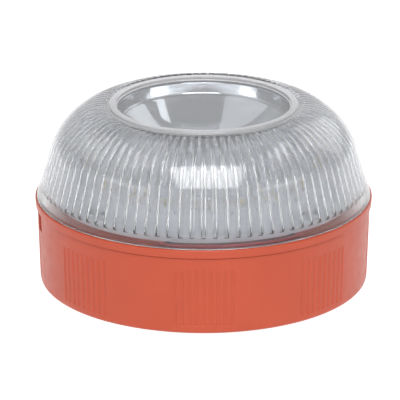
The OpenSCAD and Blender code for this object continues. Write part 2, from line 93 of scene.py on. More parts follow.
# The rest repeats the CAD source, except that the flutes are 0.2 mm deeper here, for stronger lines.
cup_foot_r = cup_top_r - 0.55
cup_in_r = 44.0
neck_r = 42.4
neck_in_r = 40.5
lug_count = 4
lug_span = math.radians(35)
lug_h = 2.0
thread_lead = 24.0
cup_lug_z = 17.0
neck_lug_z = cup_lug_z - lug_h - 0.3
shelf_r = 41.8
channel_r = 44.1
channel_z = 24.0
seat_r = 45.8
seat_z = 23.4
shoulder_r = 42.3
shoulder_z = 38.9
lens_wall = 2.1
lens_low_z = rim_z + 0.05
lens_foot_in_r = 44.2
lens_foot_out_r = 45.7
ring_r = 26.2
ring_w = 2.0
ring_foot_z = bowl_top_z + lens_wall + 0.1
crest_r = 27.8
crest_z = ring_foot_z + 0.55
window_z = ring_foot_z - 0.1
flutes = 90
flute_depth = 0.65
flute_low_z = 26.8
flute_end_r = 27.5


# ---- Mesh code ----


def rounded(corners, turn=15):
    """Closed outline through corners (x, y, radius). A radius is turned in steps of about turn degrees."""
    outline = []
    for i, (x, y, radius) in enumerate(corners):
        if radius == 0:
            outline.append((x, y))
            continue
        here = Vector((x, y))
        back = (Vector(corners[i - 1][:2]) - here).normalized()
        ahead = (Vector(corners[(i + 1) % len(corners)][:2]) - here).normalized()
        inside = back.angle(ahead)
        centre = here + (back + ahead).normalized() * (radius / math.sin(inside / 2))
        first = here + back * (radius / math.tan(inside / 2)) - centre
        last = here + ahead * (radius / math.tan(inside / 2)) - centre
        start = math.atan2(first.y, first.x)
        sweep = (math.atan2(last.y, last.x) - start + math.pi) % TURN - math.pi
        steps = max(2, round(abs(math.degrees(sweep)) / turn))
        for k in range(steps + 1):
            a = start + sweep * k / steps
            outline.append((centre.x + radius * math.cos(a), centre.y + radius * math.sin(a)))
    return outline


def circle(count, start=0.0):
    """Evenly spaced angles round a full turn."""
    return [start + TURN * i / count for i in range(count)]


def polar(r, angle, z):
    return Vector((r * math.cos(angle), r * math.sin(angle), z))


class Shape:
    """Points in millimetres and faces, gathered from closed forms. A kind is the number of a material."""

    def __init__(self):
        self.points = []
        self.faces = []
        self.kinds = []

    def skin(self, rings, loop=False, kinds=None):
        """Joins neighbouring rings of points. A ring of one point is a pole, and open ends get a cap."""
        starts = []
        for ring in rings:
            starts.append(len(self.points))
            self.points.extend(ring)
        pairs = list(zip(range(len(rings)), range(1, len(rings))))
        if loop:
            pairs.append((len(rings) - 1, 0))
        for a, b in pairs:
            na, nb = len(rings[a]), len(rings[b])
            kind = kinds[a] if kinds else 0
            count = max(na, nb)
            for i in range(count):
                j = (i + 1) % count
                corners = (
                    starts[a] + i % na,
                    starts[a] + j % na,
                    starts[b] + j % nb,
                    starts[b] + i % nb,
                )
                face = list(dict.fromkeys(corners))
                if len(face) > 2:
                    self.faces.append(face)
                    self.kinds.append(kind)
        if not loop:
            for k in (0, -1):
                if len(rings[k]) > 2:
                    self.faces.append(list(range(starts[k], starts[k] + len(rings[k]))))
                    self.kinds.append(kinds[k] if kinds else 0)

    def revolve(self, profile, angles, push=None, kinds=None):
        """Turns a closed profile (radius, height) round the axis.

        push(i, angle) gives how far point i moves at an angle, as (dr, dz).
        """
        rings = []
        for i, (r, z) in enumerate(profile):
            if abs(r) < 1e-6:
                rings.append([Vector((0, 0, z))])
                continue
            ring = []
            for a in angles:
                dr, dz = push(i, a) if push else (0, 0)
                ring.append(polar(r + dr, a, z + dz))
            rings.append(ring)
        self.skin(rings, loop=True, kinds=kinds)

    def sweep(self, outline, path):
        """Carries an outline along a path, given as (origin, right, up) at each step."""
        self.skin([[o + right * x + up * y for x, y in outline] for o, right, up in path])

    def block(self, centre, turn, size, edge):
        """Block with rounded upright edges and a rounded top, standing on a centre and turned about Z."""
        width, depth, height = size
        right, ahead = polar(1, turn, 0), polar(1, turn + math.pi / 2, 0)
        levels = [
            (0.0, 0.0),
            (0.0, height - edge),
            (edge * 0.3, height - edge * 0.3),
            (edge, height),
        ]
        rings = []
        for inset, z in levels:
            w, d, r = width / 2 - inset, depth / 2 - inset, edge * 1.6 - inset
            outline = rounded([(-w, -d, r), (w, -d, r), (w, d, r), (-w, d, r)], 30)
            rings.append([centre + right * x + ahead * y + Vector((0, 0, z)) for x, y in outline])
        self.skin(rings)

    def drop(self, centre, low_z, radius, height, skirt, steps, count, kind):
        """Half-round drop from low_z above a centre, with a straight skirt that goes down into the case."""
        outline = []
        for k in range(1, steps + 1):
            t = math.pi / 2 * k / steps
            outline.append((radius * math.sin(t), low_z + height * math.cos(t)))
        outline.append((radius, low_z - skirt))
        rings = [[centre + Vector((0, 0, low_z + height))]]
        rings += [[centre + polar(r, a, z) for a in circle(count)] for r, z in outline]
        self.skin(rings, kinds=[kind] * len(rings))

    def tube(self, path, radius, count):
        """Round tube along a path that never runs along the aside direction."""
        aside = Vector((0.2, -0.9, 0.35))
        steps = []
        for i, here in enumerate(path):
            ahead = (path[min(i + 1, len(path) - 1)] - path[max(i - 1, 0)]).normalized()
            right = ahead.cross(aside).normalized()
            steps.append((here, right, ahead.cross(right)))
        self.sweep([(radius * math.cos(a), radius * math.sin(a)) for a in circle(count)], steps)

    def make(self, name, body, materials, replaces, sharp=32):
        """Links the piece, and shades edges of more than sharp degrees as sharp."""
        mesh = bpy.data.meshes.new(name)
        mesh.from_pydata([p * MM for p in self.points], [], self.faces)
        mesh.polygons.foreach_set("material_index", self.kinds)
        b = bmesh.new()
        b.from_mesh(mesh)
        bmesh.ops.recalc_face_normals(b, faces=b.faces)
        b.to_mesh(mesh)
        b.free()
        mesh.shade_smooth()
        mesh.set_sharp_from_angle(angle=math.radians(sharp))
        for material in materials:
            mesh.materials.append(material)
        piece = bpy.data.objects.new(name, mesh)
        scene.collection.objects.link(piece)
        piece.modifiers.new("flats", "WEIGHTED_NORMAL").keep_sharp = True
        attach(piece, body)
        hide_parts(*replaces)
        return piece


def normals(profile):
    """Outward normal at each point of a closed profile that runs anticlockwise."""
    found = []
    for i in range(len(profile)):
        a, b = profile[i - 1], profile[(i + 1) % len(profile)]
        n = Vector((b[1] - a[1], a[0] - b[0])).normalized()
        found.append((n.x, n.y))
    return found


def lug(shape, r0, r1, z, middle):
    """One helical lug with softened edges, from radius r0 to r1. middle is the angle of its middle."""
    edge = 0.25
    outline = rounded(
        [
            (r0, -lug_h / 2, 0),
            (r1, -lug_h / 2, edge),
            (r1, lug_h / 2, edge),
            (r0, lug_h / 2, 0),
        ],
        30,
    )
    steps = 14
    path = []
    for k in range(steps + 1):
        a = lug_span * (k / steps - 0.5)
        right = polar(1, middle + a, 0)
        path.append((Vector((0, 0, z + thread_lead * a / TURN)), right, Vector((0, 0, 1))))
    shape.sweep(outline, path)


# ---- Finishes ----


class Finish:
    """A material round one Principled shader. Its patterns read the piece's own coordinates."""

    def __init__(self, name, **sockets):
        self.material = bpy.data.materials.new(name)
        self.material.use_nodes = True
        self.tree = self.material.node_tree
        self.shader = next(n for n in self.tree.nodes if n.type == "BSDF_PRINCIPLED")
        self.place = self.tree.nodes.new("ShaderNodeTexCoord").outputs["Object"]
        for socket, value in sockets.items():
            self.shader.inputs[socket.replace("_", " ")].default_value = value

    def node(self, kind, links=(), **values):
        made = self.tree.nodes.new(kind)
        for key, value in values.items():
            setattr(made, key, value)
        for socket, source in links:
            if isinstance(source, bpy.types.NodeSocket):
                self.tree.links.new(source, made.inputs[socket])
            else:
                made.inputs[socket].default_value = source
        return made

    def noise(self, size, detail=3.0, stretch=(1, 1, 1)):
        """Noise with features of about size millimetres, from 0 to 1."""
        mapped = self.node("ShaderNodeMapping", [("Vector", self.place), ("Scale", stretch)])
        links = [("Vector", mapped.outputs["Vector"]), ("Scale", 1 / (size * MM)), ("Detail", detail)]
        return self.node("ShaderNodeTexNoise", links).outputs["Fac"]

    def cells(self, size):
        links = [("Vector", self.place), ("Scale", 1 / (size * MM))]
        return self.node("ShaderNodeTexVoronoi", links).outputs["Distance"]

    def remap(self, value, low, high, start=0.3, end=0.7):
        """Value from low to high as another runs from start to end."""
        links = [
            ("Value", value),
            ("From Min", start),
            ("From Max", end),
            ("To Min", low),
            ("To Max", high),
        ]
        return self.node("ShaderNodeMapRange", links).outputs["Result"]

    def mix(self, factor, a, b):
        """Colour between a and b. Sockets 0, 6 and 7 are the factor and the two colours."""
        links = [(0, factor), (6, a), (7, b)]
        return self.node("ShaderNodeMix", links, data_type="RGBA").outputs[2]

    def colour(self, low, high, factor):
        """Base colour between two close tones."""
        mixed = self.mix(self.remap(factor, 0, 1), (*low, 1), (*high, 1))
        self.tree.links.new(mixed, self.shader.inputs["Base Color"])

    def rough(self, low, high, factor):
        self.tree.links.new(self.remap(factor, low, high), self.shader.inputs["Roughness"])

    def bump(self, *layers):
        """Relief from layers of (height, depth in millimetres)."""
        normal = None
        for height, depth in layers:
            links = [("Height", height), ("Distance", depth * MM), ("Strength", 1.0)]
            if normal:
                links.append(("Normal", normal))
            normal = self.node("ShaderNodeBump", links).outputs["Normal"]
        self.tree.links.new(normal, self.shader.inputs["Normal"])


def moulded(name, low, high, rough, grain, depth, **sockets):
    """Moulded plastic: soft flow marks in the colour, uneven gloss and a fine grain."""
    f = Finish(name, **sockets)
    f.colour(low, high, f.noise(14, 2))
    f.rough(*rough, f.noise(3, 4))
    f.bump((f.noise(grain, 2), depth), (f.noise(9, 1), depth))
    return f.material


def metal(name, low, high, rough, grain, stretch, depth):
    """Worked metal: fine lines along one direction, or an even grain."""
    f = Finish(name, Metallic=1.0)
    f.colour(low, high, f.noise(grain * 4, 3, stretch))
    f.rough(*rough, f.noise(grain * 2, 3, stretch))
    f.bump((f.noise(grain, 2, stretch), depth))
    return f.material


def board_finish():
    """White solder mask with fine copper runs showing under it, and a glassy skin."""
    f = Finish("white_board", Coat_Weight=0.3, Coat_Roughness=0.15)
    links = [
        ("Vector", f.place),
        ("Scale", 1 / MM),
        ("Mortar Size", 0.06),
        ("Mortar Smooth", 0.3),
        ("Brick Width", 5.2),
        ("Row Height", 1.7),
        ("Color1", (0.84, 0.845, 0.86, 1)),
        ("Color2", (0.80, 0.805, 0.82, 1)),
        ("Mortar", (0.70, 0.71, 0.73, 1)),
    ]
    runs = f.node("ShaderNodeTexBrick", links)
    soft = f.mix(f.remap(f.noise(8), 0.0, 0.35), runs.outputs["Color"], (0.82, 0.825, 0.84, 1))
    f.tree.links.new(soft, f.shader.inputs["Base Color"])
    f.rough(0.3, 0.45, f.noise(2.5))
    f.bump((runs.outputs["Fac"], 0.02), (f.noise(0.5), 0.006))
    return f.material


def foam_finish():
    """Dark open-cell foam."""
    f = Finish("foam", Roughness=0.9)
    f.colour((0.10, 0.10, 0.105), (0.16, 0.16, 0.165), f.noise(1.2))
    f.rough(0.85, 0.98, f.noise(2))
    f.bump((f.cells(0.7), 0.25), (f.noise(0.3), 0.05))
    return f.material


def clear_finish(name, low, high, rough, clear):
    """Clear polycarbonate with faint waves in its skin, from polished to frosted."""
    f = Finish(name, Transmission_Weight=clear, IOR=1.585)
    f.colour(low, high, f.noise(20, 2))
    f.rough(*rough, f.noise(5, 3))
    f.bump((f.noise(12, 1), 0.01))
    return f.material


def mirror_finish():
    """Vacuum-metallised plastic: a mirror with the slight waviness of the moulding under it."""
    f = Finish("metallised", Metallic=1.0)
    f.colour((0.64, 0.65, 0.665), (0.69, 0.70, 0.715), f.noise(10, 2))
    f.rough(0.05, 0.11, f.noise(4, 3))
    f.bump((f.noise(7, 2), 0.01))
    return f.material


def lamp_finish(name, low, high):
    """Phosphor under a clear silicone drop."""
    f = Finish(name, Coat_Weight=0.8, Coat_Roughness=0.08)
    f.colour(low, high, f.noise(0.5, 3))
    f.rough(0.35, 0.5, f.noise(0.4))
    f.bump((f.noise(0.3), 0.02))
    return f.material


EVEN = (1, 1, 1)
BRUSHED = (0.06, 1, 1)
CLEAR_TONES = (0.88, 0.90, 0.93), (0.91, 0.93, 0.95)
ORANGE_TONES = (0.385, 0.0445, 0.011), (0.412, 0.0495, 0.013)
BLACK_TONES = (0.022, 0.022, 0.024), (0.032, 0.032, 0.034)
SPRING_TONES = (0.55, 0.54, 0.52), (0.65, 0.64, 0.62)
JACKET_TONES = (0.020, 0.024, 0.06), (0.03, 0.034, 0.075)
PALE_TONES = (0.84, 0.845, 0.86), (0.88, 0.885, 0.90)
IVORY_TONES = (0.70, 0.67, 0.58), (0.76, 0.73, 0.65)
ALUMINIUM_TONES = (0.72, 0.73, 0.74), (0.82, 0.82, 0.83)
finishes = {
    "orange_abs": moulded("orange_abs", *ORANGE_TONES, (0.36, 0.46), 0.35, 0.012),
    "clear_pc": clear_finish("clear_pc", *CLEAR_TONES, (0.015, 0.045), 1.0),
    "satin_pc": clear_finish("satin_pc", *CLEAR_TONES, (0.09, 0.13), 1.0),
    "frosted_pc": clear_finish("frosted_pc", (0.87, 0.88, 0.91), (0.90, 0.91, 0.93), (0.08, 0.11), 0.92),
    "hazy_pc": clear_finish("hazy_pc", (0.88, 0.88, 0.90), (0.93, 0.93, 0.95), (0.18, 0.24), 0.62),
    "pale_plastic": moulded("pale_plastic", *PALE_TONES, (0.4, 0.55), 0.3, 0.01),
    "grey_plastic": moulded("grey_plastic", (0.52, 0.53, 0.56), (0.58, 0.59, 0.62), (0.4, 0.55), 0.3, 0.01),
    "metallised": mirror_finish(),
    "black_plastic": moulded("black_plastic", *BLACK_TONES, (0.42, 0.56), 0.3, 0.02),
    "rubber": moulded("rubber", (0.018, 0.018, 0.019), (0.028, 0.028, 0.028), (0.68, 0.85), 0.25, 0.03),
    "foam": foam_finish(),
    "white_board": board_finish(),
    "aluminium": metal("aluminium", *ALUMINIUM_TONES, (0.25, 0.4), 0.3, BRUSHED, 0.01),
    "steel": metal("steel", (0.72, 0.72, 0.73), (0.80, 0.80, 0.81), (0.38, 0.5), 0.3, EVEN, 0.01),
    "magnet": metal("magnet", (0.28, 0.28, 0.29), (0.36, 0.36, 0.37), (0.3, 0.5), 0.5, EVEN, 0.02),
    "spring_steel": metal("spring_steel", *SPRING_TONES, (0.2, 0.35), 0.2, EVEN, 0.005),
    "amber_lamp": lamp_finish("amber_lamp", (0.82, 0.66, 0.40), (0.88, 0.74, 0.50)),
    "torch_lamp": lamp_finish("torch_lamp", (0.80, 0.66, 0.16), (0.88, 0.76, 0.26)),
    "component": moulded("component", (0.02, 0.02, 0.021), (0.035, 0.035, 0.036), (0.35, 0.5), 0.2, 0.015),
    "can": metal("can", (0.42, 0.43, 0.46), (0.55, 0.56, 0.58), (0.25, 0.38), 0.3, EVEN, 0.01),
    "ivory_plastic": moulded("ivory_plastic", *IVORY_TONES, (0.35, 0.5), 0.25, 0.01),
    "battery_jacket": moulded("battery_jacket", *JACKET_TONES, (0.22, 0.36), 0.8, 0.01),
    "red_lead": moulded("red_lead", (0.38, 0.015, 0.02), (0.46, 0.025, 0.03), (0.3, 0.42), 0.3, 0.01),
    "black_lead": moulded("black_lead", (0.02, 0.02, 0.022), (0.03, 0.03, 0.032), (0.3, 0.42), 0.3, 0.01),
}
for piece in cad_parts.values():
    for holder in piece.material_slots:
        holder.material = finishes[holder.material.name]


# ---- Cup ----


def spread(angles):
    """Angles from 0 to a full turn, in order, without near doubles."""
    kept = []
    for a in sorted(a % TURN for a in angles):
        if not kept or a - kept[-1] > 1e-5:
            kept.append(a)
    return kept


def step(distance, width):
    """0 to 1 as distance goes from 0 to width, with a soft start and end."""
    t = min(1.0, max(0.0, distance / width))
    return t * t * (3 - 2 * t)


grip_step = math.radians(2.4)
grip_depth = 0.22
grip_low_z = 2.6
grip_high_z = 18.75
groove_half = 0.55
groove_ends = 0.45
grip_centres = [FRONT + p * TURN / 8 + (i - 4) * grip_step for p in range(8) for i in range(9)]
notch_angle = FRONT - math.radians(78)
notch_half = 2.5
notch_low_z = cup_top_z - 5.4
notch_depth = 1.0
notch_edge = 0.22


def apart(a, b):
    """Smallest angle between two directions."""
    return abs((a - b + math.pi) % TURN - math.pi)


def cup_depth(angle, z):
    """How deep the grooves and the notch cut into the wall at a place."""
    across = min(apart(angle, c) for c in grip_centres) * cup_top_r
    along = min(z - grip_low_z, grip_high_z - z)
    depth = 0.0
    if across < groove_half and along > 0:
        depth = grip_depth * (1 - (across / groove_half) ** 2) * step(along, groove_ends)
    side = notch_half - apart(angle, notch_angle) * cup_top_r
    rise = z - notch_low_z
    return max(depth, notch_depth * step(side, notch_edge) * step(rise, notch_edge))


def make_cup():
    rows = [grip_low_z + groove_ends * k / 4 for k in range(5)]
    rows += [notch_low_z + notch_edge * k / 4 for k in range(5)]
    rows += [grip_high_z - groove_ends * k / 4 for k in range(4, -1, -1)]
    slope = (cup_top_r - cup_foot_r) / (cup_top_z - cup_foot_z)
    wall = [(cup_foot_r + slope * (z - cup_foot_z), z, 0) for z in rows]
    well_r, well_wall_r, well_top_z = 8.0, 9.8, 4.3
    seal_r, seal_top_z = 2.6, 5.5
    guide_r, guide_wall_r, guide_top_z = 1.8, 3.2, 9.0
    pad_recess_r, pad_seat_z = 43.6, 1.2
    pocket_r, pocket_wall_r, pocket_top_z = 22.2, 23.6, 4.1
    floor_z, roof_z = 2.5, 5.1
    support_r, support_in_r, support_z = 31.2, 30.0, 6.2
    profile = rounded(
        [
            (well_r, cup_foot_z, 0.25),
            (well_wall_r, cup_foot_z, 0.25),
            (well_wall_r, pocket_top_z, 0),
            (pocket_r, pocket_top_z, 0),
            (pocket_r, pad_seat_z, 0),
            (pad_recess_r, pad_seat_z, 0),
            (pad_recess_r, cup_foot_z, 0.2),
            (cup_foot_r, cup_foot_z, 1.0),
            *wall,
            (cup_top_r, cup_top_z, 0.1),
            (cup_in_r, cup_top_z, 0.22),
            (cup_in_r, floor_z, 1.5),
            (support_r, floor_z, 0.3),
            (support_r, support_z, 0.2),
            (support_in_r, support_z, 0.2),
            (support_in_r, floor_z, 0.3),
            (pocket_wall_r, floor_z, 0.3),
            (pocket_wall_r, roof_z, 0.3),
            (guide_wall_r, roof_z, 0.2),
            (guide_wall_r, guide_top_z, 0.2),
            (guide_r, guide_top_z, 0.1),
            (guide_r, seal_top_z, 0),
            (seal_r, seal_top_z, 0),
            (seal_r, well_top_z, 0),
            (well_r, well_top_z, 0),
        ]
    )
    outer = [r > cup_foot_r - 0.6 and z > grip_low_z - 1 for r, z in profile]

    def push(i, angle):
        if not outer[i]:
            return 0, 0
        return -cup_depth(angle, profile[i][1]), 0

    # The wall has more points where a groove or the notch needs them.
    angles = circle(120)
    beyond = groove_half + 0.08
    across = [-beyond, *[k * groove_half / 4 for k in range(-4, 5)], beyond]
    angles += [c + x / cup_top_r for c in grip_centres for x in across]
    sides = [notch_half - notch_edge * k / 4 for k in range(5)]
    angles += [notch_angle + s * x / cup_top_r for s in (-1, 1) for x in sides]
    shape = Shape()
    shape.revolve(profile, spread(angles), push)
    for k in range(lug_count):
        lug(shape, neck_r + 0.3, cup_in_r + 0.5, cup_lug_z, k * TURN / lug_count)
    shape.make("cup_shell", "base", [finishes["orange_abs"]], ["base_housing"])


# ---- Collar ----


def make_collar():
    groove_r, groove_h, seal_z = 42.1, 2.1, 20.5
    groove_low_z, groove_high_z = seal_z - groove_h / 2, seal_z + groove_h / 2
    mark_angle = FRONT - math.radians(1.95)
    mark_half = math.radians(0.35)
    mark_low_z, mark_high_z = collar_z + 0.3, collar_z + 1.6
    mark_proud, mark_edge = 0.1, 0.08
    low_r = cup_top_r + 0.42
    rim_edge = 0.35
    flare = (rim_r - low_r) / (rim_z - rim_edge - collar_z)
    rows = [z + k * mark_edge for z in (mark_low_z, mark_high_z) for k in (-1, 0, 1)]
    profile = rounded(
        [
            (neck_in_r, neck_low_z, 0.15),
            (neck_r, neck_low_z, 0.3),
            (neck_r, groove_low_z, 0.15),
            (groove_r, groove_low_z, 0),
            (groove_r, groove_high_z, 0),
            (neck_r, groove_high_z, 0.15),
            (neck_r, collar_z, 0.2),
            (low_r, collar_z, 0.1),
            *[(low_r + flare * (z - collar_z), z, 0) for z in rows],
            (rim_r, rim_z, rim_edge),
            (seat_r, rim_z, 0.12),
            (seat_r, seat_z, 0),
            (channel_r, seat_z, 0),
            (channel_r, channel_z, 0.1),
            (shelf_r, channel_z, 0.15),
            (shelf_r, shelf_z, 0.15),
            (neck_in_r, shelf_z, 0.15),
        ]
    )

    def push(i, angle):
        r, z = profile[i]
        if r < low_r - 0.1 or not mark_low_z - 0.01 < z < mark_high_z + 0.01:
            return 0, 0
        inside = step(mark_half - apart(angle, mark_angle), mark_half / 3)
        height = step(min(z - mark_low_z, mark_high_z - z), mark_edge)
        return mark_proud * inside * height, 0

    angles = circle(360)
    angles += [mark_angle + mark_half * k / 6 for k in range(-6, 7)]
    shape = Shape()
    shape.revolve(profile, spread(angles), push)
    for k in range(lug_count):
        lug(shape, neck_r - 0.5, cup_in_r - 0.3, neck_lug_z, k * TURN / lug_count)
    boss_r, boss_hole_r, boss_ring_r = 3.0, 1.05, 37.9
    boss_low_z, boss_high_z = 18.2, shelf_z - 0.05
    outline = rounded(
        [
            (boss_hole_r, boss_low_z, 0.1),
            (boss_r, boss_low_z, 0.2),
            (boss_r, boss_high_z, 0),
            (boss_hole_r, boss_high_z, 0.1),
        ]
    )
    for degrees in (15, 165, 225, 315):
        boss = polar(boss_ring_r, math.radians(degrees), 0)
        shape.skin([[boss + polar(r, a, z) for a in circle(40)] for r, z in outline], loop=True)
    shape.make("collar", "head", [finishes["orange_abs"]], ["collar_ring"])


# ---- Dome ----


def shoulder(wall, steps):
    """Quarter ellipse from the leaning wall to the crest, a wall thickness inside the dome."""
    lean = (shoulder_r - lens_r) / (shoulder_z - lens_low_z)
    r0, r1 = shoulder_r - wall, crest_r - 0.3 * wall
    z0, z1 = shoulder_z, crest_z - wall
    line = []
    for k in range(steps + 1):
        a = math.pi / 2 * k / steps
        z = z0 + (z1 - z0) * math.sin(a)
        line.append((r1 + (r0 - r1 + lean * (z - z0)) * math.cos(a), z))
    return line


def make_dome():
    """Dome with a smooth outside. Its flutes are on the inner face, and fade out at both ends."""
    outer = shoulder(0.0, 28)
    inner = shoulder(lens_wall, 40)
    fade = 1.2
    rows = [flute_low_z + fade * k / 6 for k in range(7)]
    slope = (inner[0][0] - lens_foot_in_r) / (shoulder_z - lens_foot_z)
    wall = [(lens_foot_in_r + slope * (z - lens_foot_z), z, 0) for z in rows]
    ring_in_r = ring_r - ring_w
    window_r = ring_r - 0.3 * lens_wall
    window_low_z = ring_foot_z - lens_wall
    # The window's underside has a second row of points near its edge, which keeps it flat up to there.
    corners = [
        (lens_foot_in_r, lens_foot_z, 0.1),
        (lens_foot_out_r, lens_foot_z, 0.1),
        (lens_foot_out_r, lens_low_z, 0),
        (lens_r, lens_low_z, 0.12),
        *[(r, z, 0) for r, z in outer[:-1]],
        (crest_r, crest_z, 0.6),
        (ring_r, ring_foot_z, 0.25),
        (ring_r, ring_top_z, 0.3),
        (ring_in_r, ring_top_z, 0.3),
        (ring_in_r, window_z, 0.3),
        (0, window_z, 0),
        (0, window_low_z, 0),
        (window_r - 0.2, window_low_z, 0),
        (window_r, window_low_z, 0),
        *[(r, z, 0) for r, z in reversed(inner)],
        *reversed(wall),
    ]
    profile = rounded(corners, 12)
    away = normals(profile)
    fluted = set(inner) | {(r, z) for r, z, _ in wall}
    weights = []
    for r, z in profile:
        if (r, z) in fluted:
            low = min(1.0, max(0.0, (z - flute_low_z) / fade))
            high = min(1.0, max(0.0, (r - flute_end_r) / fade))
            weights.append(math.sqrt(1 - (1 - low) ** 2) * math.sqrt(1 - (1 - high) ** 2))
        else:
            weights.append(0.0)
    pitch = TURN / flutes
    sharpness = 2.6

    def push(i, angle):
        if weights[i] == 0.0:
            return 0, 0
        valley = (0.5 + 0.5 * math.cos(TURN * (angle - FRONT) / pitch)) ** sharpness
        depth = flute_depth * weights[i] * valley
        return -away[i][0] * depth, -away[i][1] * depth

    materials = ["clear_pc", "frosted_pc", "satin_pc", "hazy_pc"]
    kinds = []
    for r, z in profile:
        inside = (r, z) in fluted
        outside = r > ring_r + 0.3 and not inside
        window = r < ring_in_r - 0.25
        strip = z < flute_low_z and not outside
        if window or strip:
            kinds.append(materials.index("clear_pc"))
        elif outside:
            kinds.append(materials.index("satin_pc"))
        elif inside:
            kinds.append(materials.index("frosted_pc"))
        else:
            kinds.append(materials.index("hazy_pc"))
    shape = Shape()
    shape.revolve(profile, circle(flutes * 12, FRONT), push, kinds)
    faces = [finishes[name] for name in materials]
    shape.make("fluted_dome", "head", faces, ["dome_lens"], 28)


# ---- Reflector ----


def make_reflector():
    """Reflector with a straight band, a step and a parabolic bowl, on a screwed tab."""
    bowl_r, wall = 23.8, 1.3
    band_low_r, band_h, bowl_step = 22.75, 3.0, 0.8
    start_r, start_z = band_low_r - bowl_step, bowl_top_z - band_h
    focus = 11.5
    hole_r, foot_r = 4.2, 9.6
    tab_r, tab_t = 14.0, 1.2
    pocket_r, pocket_z = 8.15, 32.5
    flange_t = 1.0

    def bowl_z(r):
        return start_z - 0.2 - (start_r**2 - r**2) / (4 * focus)

    inner_radii = [start_r + (hole_r - start_r) * k / 40 for k in range(1, 41)]
    outer_radii = [start_r + (foot_r - start_r) * k / 20 for k in range(19, -1, -1)]
    profile = rounded(
        [
            (bowl_r, bowl_top_z, 0.3),
            (band_low_r, start_z, 0.6),
            (start_r, start_z - 0.2, 0.1),
            *[(r, bowl_z(r), 0) for r in inner_radii],
            (hole_r, pocket_z, 0),
            (pocket_r, pocket_z, 0),
            (pocket_r, board_z, 0),
            (tab_r, board_z, 0.1),
            (tab_r, board_z + tab_t, 0.3),
            (foot_r, board_z + tab_t, 0.5),
            (foot_r, bowl_z(foot_r) - wall, 0),
            *[(r + wall * 0.6, bowl_z(r) - wall, 0) for r in outer_radii],
            (bowl_r + wall * 0.8, start_z, 0),
            (bowl_r + wall, bowl_top_z - flange_t, 0.1),
            (bowl_flange_r, bowl_top_z - flange_t, 0.15),
            (bowl_flange_r, bowl_top_z, 0.3),
        ]
    )
    # The bowl, its hole, the pocket and the flange are plated. The tab and the back of the bowl are bare.
    plated, bare = 0, 1
    last_plated = profile.index((pocket_r, board_z))
    kinds = []
    for i, (_, z) in enumerate(profile):
        kinds.append(plated if i <= last_plated or z > bowl_top_z - 0.9 else bare)
    shape = Shape()
    shape.revolve(profile, circle(288), kinds=kinds)
    faces = [finishes["metallised"], finishes["pale_plastic"]]
    shape.make("reflector", "head", faces, ["reflector_bowl"])


# ---- Lamps ----


def make_lamps():
    """Ring of flash lamps, each an ivory case with a phosphor drop, and a resistor after each of them."""
    lamp_count, lamp_ring_r, resistor_ring_r = 12, 20, 25
    lamp_size = (3.2, 2.8, 1.3)
    drop_r, drop_h = 1.1, 0.3
    resistor_size = (1.3, 2.0, 0.55)
    lamps = Shape()
    resistors = Shape()
    for a in circle(lamp_count, FRONT):
        here = polar(lamp_ring_r, a, board_z)
        lamps.block(here, a, lamp_size, 0.15)
        lamps.drop(here, lamp_size[2], drop_r, drop_h, skirt=0.05, steps=8, count=32, kind=1)
        between = a + TURN / lamp_count / 2
        resistors.block(polar(resistor_ring_r, between, board_z), between, resistor_size, 0.08)
    faces = [finishes["ivory_plastic"], finishes["amber_lamp"]]
    lamps.make("flash_lamps", "head", faces, ["side_lamps"])
    resistors.make("resistor_row", "head", [finishes["grey_plastic"]], ["lamp_resistors"])


def make_torch_lamp():
    """Square lamp with a half-round drop, under the hole of the reflector."""
    centre = Vector((0, 0, foot("torch_led")))
    case_w, case_h, drop_r = 3.5, 0.9, 1.5
    shape = Shape()
    shape.block(centre, 0, (case_w, case_w, case_h), 0.12)
    shape.drop(centre, case_h, drop_r, drop_r, skirt=0.1, steps=12, count=48, kind=1)
    faces = [finishes["ivory_plastic"], finishes["torch_lamp"]]
    shape.make("torch_lamp", "head", faces, ["torch_led"])


# ---- Leads ----


lead_r = 0.48
lead_z = channel_z + lead_r + 0.05
black_ring_r = shelf_r + lead_r + 0.03
red_ring_r = shelf_r + 3 * lead_r + 0.07


def curve(points, steps):
    """Smooth curve through points, with a number of steps from each to the next."""
    line = []
    for i in range(len(points) - 1):
        a, b = points[max(i - 1, 0)], points[i]
        c, d = points[i + 1], points[min(i + 2, len(points) - 1)]
        for k in range(steps):
            t = k / steps
            bend = (2 * a - 5 * b + 4 * c - d) * t * t + (3 * b - a - 3 * c + d) * t**3
            line.append((2 * b + (c - a) * t + bend) / 2)
    return [*line, points[-1]]


def make_lead(name, node, side, ring_r):
    """A battery lead: up one slot of the collar, along the channel, down the other slot to the board.

    Its route is the one in the CAD source. side is 1 for the outer lead and -1 for the inner one.
    """

    def at(r, degrees, z):
        return polar(r, math.radians(degrees), z)

    route = [
        Vector((23.1 + 0.62 * side, 5.2, 19.3)),
        Vector((23 + 0.62 * side, 2.5, 19.5)),
        Vector((21.5 + 0.65 * side, -10, 21)),
        Vector((20 + 0.65 * side, -22, 21.5)),
        at(38, 305.5 + side, 22.3),
        at(40.5, 306 + side, 23.8),
        at(ring_r - 0.3, 305 + side, 24.75),
        *[at(ring_r, a, lead_z) for a in range(300, 259, -8)],
        at(ring_r - 0.3, 256 - side, 24.75),
        at(40.5, 255 - side, 23.8),
        at(37.5, 254.5 - side, 22.6),
        at(33.5, 254 - side, 23.6),
        at(31, 254 - side, shelf_z - lead_r - 0.05),
    ]
    shape = Shape()
    shape.tube(curve(route, 8), lead_r, 16)
    shape.make(name, "head", [finishes[name]], [node], 50)


# ---- Underside ----


